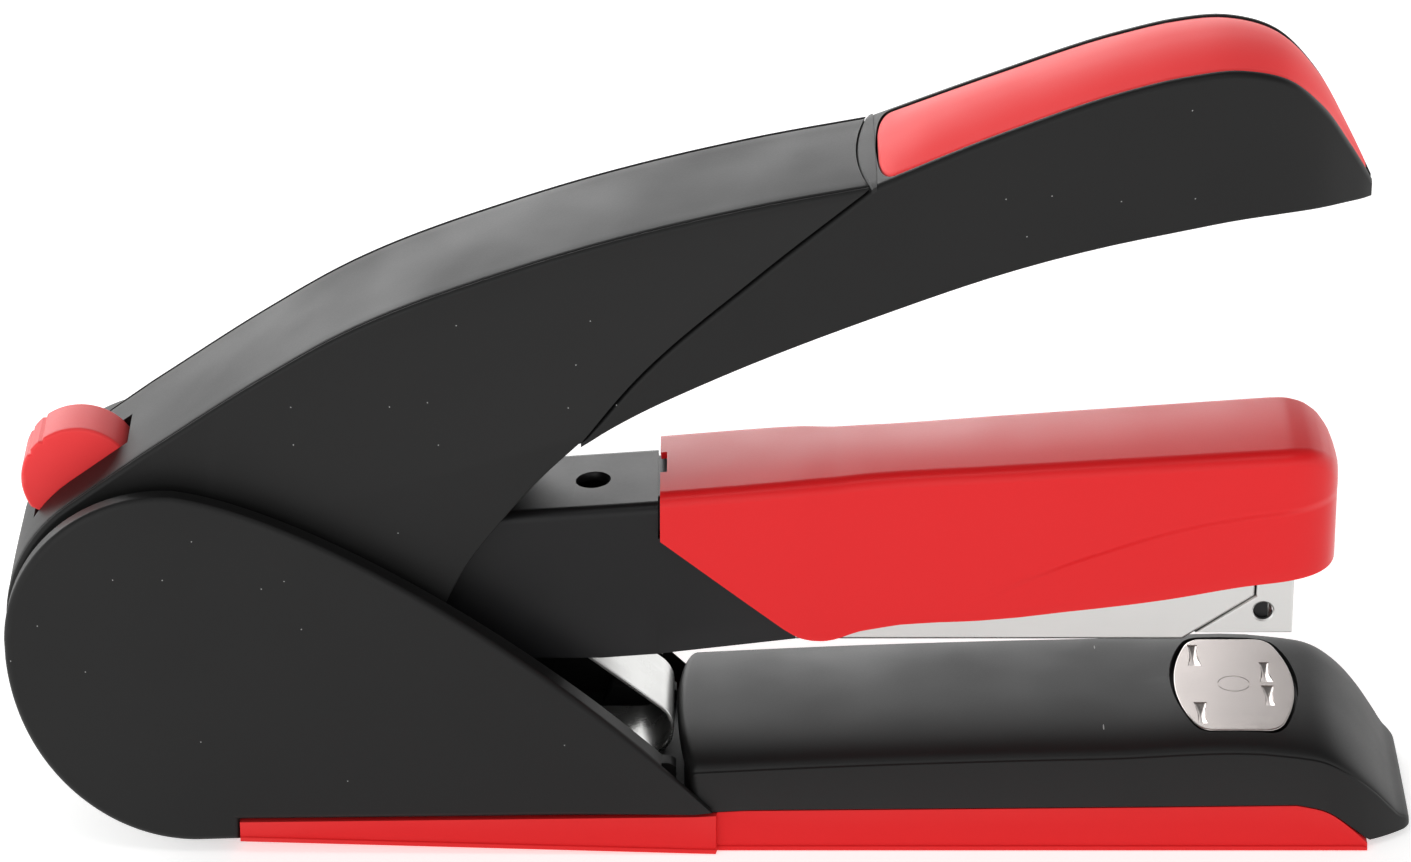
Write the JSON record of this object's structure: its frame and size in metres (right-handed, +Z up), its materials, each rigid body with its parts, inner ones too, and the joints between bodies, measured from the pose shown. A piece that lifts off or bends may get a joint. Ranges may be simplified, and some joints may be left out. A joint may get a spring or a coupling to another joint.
{
  "type": "stapler",
  "caption": "Lever stapler: a long two-part handle with a red grip over a sprung arm, front-loading magazine, domed base with a turning anvil plate and red sole.",
  "frame": {"origin": "centre of the footprint, on the surface that the stapler stands on", "axes": "+X forward to the anvil end, +Y to the stapler's left across its width, +Z up"},
  "size_m": [0.1912, 0.036, 0.1148],
  "materials": {
    "black_plastic": "moulded, fine matte grain",
    "red_plastic": "moulded, satin",
    "red_grip": "soft-touch overmoulding",
    "red_sole": "moulded, matte",
    "black_rubber": "moulded",
    "black_steel": "black finished sheet steel",
    "zinc_steel": "zinc plated",
    "magazine_steel": "bright nickel-plated sheet",
    "spring_steel": "polished spring steel",
    "anvil_chrome": "polished"
  },
  "bodies": {
    "base": {"base_shell": "black_plastic", "cheek_left": "black_plastic", "cheek_right": "black_plastic", "base_sole": "red_sole", "heel_foot_left": "black_rubber", "heel_foot_right": "black_rubber", "sole_screw_1": "zinc_steel", "sole_screw_2": "zinc_steel", "sole_screw_3": "zinc_steel", "sole_screw_4": "zinc_steel", "rear_bracket": "zinc_steel", "bracket_rivet_1": "zinc_steel", "bracket_rivet_2": "zinc_steel", "cheek_screw_1": "zinc_steel", "cheek_screw_2": "zinc_steel", "cheek_screw_3": "zinc_steel", "cheek_screw_4": "zinc_steel", "arm_pin": "zinc_steel", "handle_pin_left": "zinc_steel", "handle_pin_right": "zinc_steel", "return_spring": "spring_steel", "anvil_spring": "spring_steel"},
    "handle": {"handle_hood": "black_plastic", "handle_lever": "black_plastic", "grip_pad": "red_grip", "handle_frame": "zinc_steel", "frame_screw_1": "zinc_steel", "frame_screw_2": "zinc_steel", "roller_pin": "zinc_steel", "button_pin": "zinc_steel", "button_spring": "spring_steel"},
    "roller": {"drive_roller": "zinc_steel"},
    "button": {"release_button": "red_plastic"},
    "magazine": {"magazine_channel": "magazine_steel", "drawer_catch": "spring_steel"},
    "drawer": {"drawer_rail": "magazine_steel", "drawer_front": "magazine_steel", "guide_rod": "zinc_steel", "pusher_spring": "spring_steel"},
    "pusher": {"pusher": "black_steel"},
    "arm": {"driver_arm": "black_steel", "driver_blade": "magazine_steel", "blade_rivet_1": "zinc_steel", "blade_rivet_2": "zinc_steel", "nose_cover": "red_plastic", "driver_spring": "spring_steel"},
    "anvil_lift": {"anvil_post": "zinc_steel"},
    "anvil": {"anvil_plate": "anvil_chrome"}
  },
  "joints": [
    {"name": "handle_press", "type": "hinge", "parent": "base", "child": "handle", "pos_m": [-0.0733, 0, 0.0325], "axis": [0, 1, 0], "range_deg": [0, 17], "stiffness_Nm_per_rad": 1.2, "springref_deg": -14.32},
    {"name": "arm_swing", "type": "hinge", "parent": "base", "child": "arm", "pos_m": [-0.0855, 0, 0.0255], "axis": [0, 1, 0], "range_deg": [0, 6.7], "deforming": ["driver_spring"]},
    {"name": "magazine_swing", "type": "hinge", "parent": "base", "child": "magazine", "pos_m": [-0.0855, 0, 0.0255], "axis": [0, 1, 0], "range_deg": [0, 3.8], "deforming": ["return_spring"]},
    {"name": "roller_spin", "type": "hinge", "parent": "handle", "child": "roller", "pos_m": [-0.0668, 0, 0.04789], "axis": [0, 1, 0], "continuous": true},
    {"name": "release_press", "type": "hinge", "parent": "handle", "child": "button", "pos_m": [-0.0825, 0, 0.0463], "axis": [0, 1, 0], "range_deg": [0, 10], "stiffness_Nm_per_rad": 0.05, "springref_deg": -17.19, "deforming": ["button_spring"]},
    {"name": "drawer_slide", "type": "slide", "parent": "magazine", "child": "drawer", "axis": [-1, 0, 0], "range_m": [-0.07, 0]},
    {"name": "pusher_slide", "type": "slide", "parent": "drawer", "child": "pusher", "axis": [-1, 0, 0], "range_m": [0, 0.095], "stiffness_N_per_m": 20, "springref_m": -0.03, "deforming": ["pusher_spring"]},
    {"name": "anvil_rise", "type": "slide", "parent": "base", "child": "anvil_lift", "axis": [0, 0, -1], "range_m": [-0.003, 0], "stiffness_N_per_m": 300, "springref_m": 0.003, "deforming": ["anvil_spring"]},
    {"name": "anvil_turn", "type": "hinge", "parent": "anvil_lift", "child": "anvil", "pos_m": [0.0718, 0, 0.0159], "axis": [0, 0, 1], "range_deg": [0, 180]}
  ],
  "couplings": [
    {"joint": "arm_swing", "follows": "handle_press", "ratio": 0.39412},
    {"joint": "magazine_swing", "follows": "handle_press", "ratio": 0.22353}
  ]
}
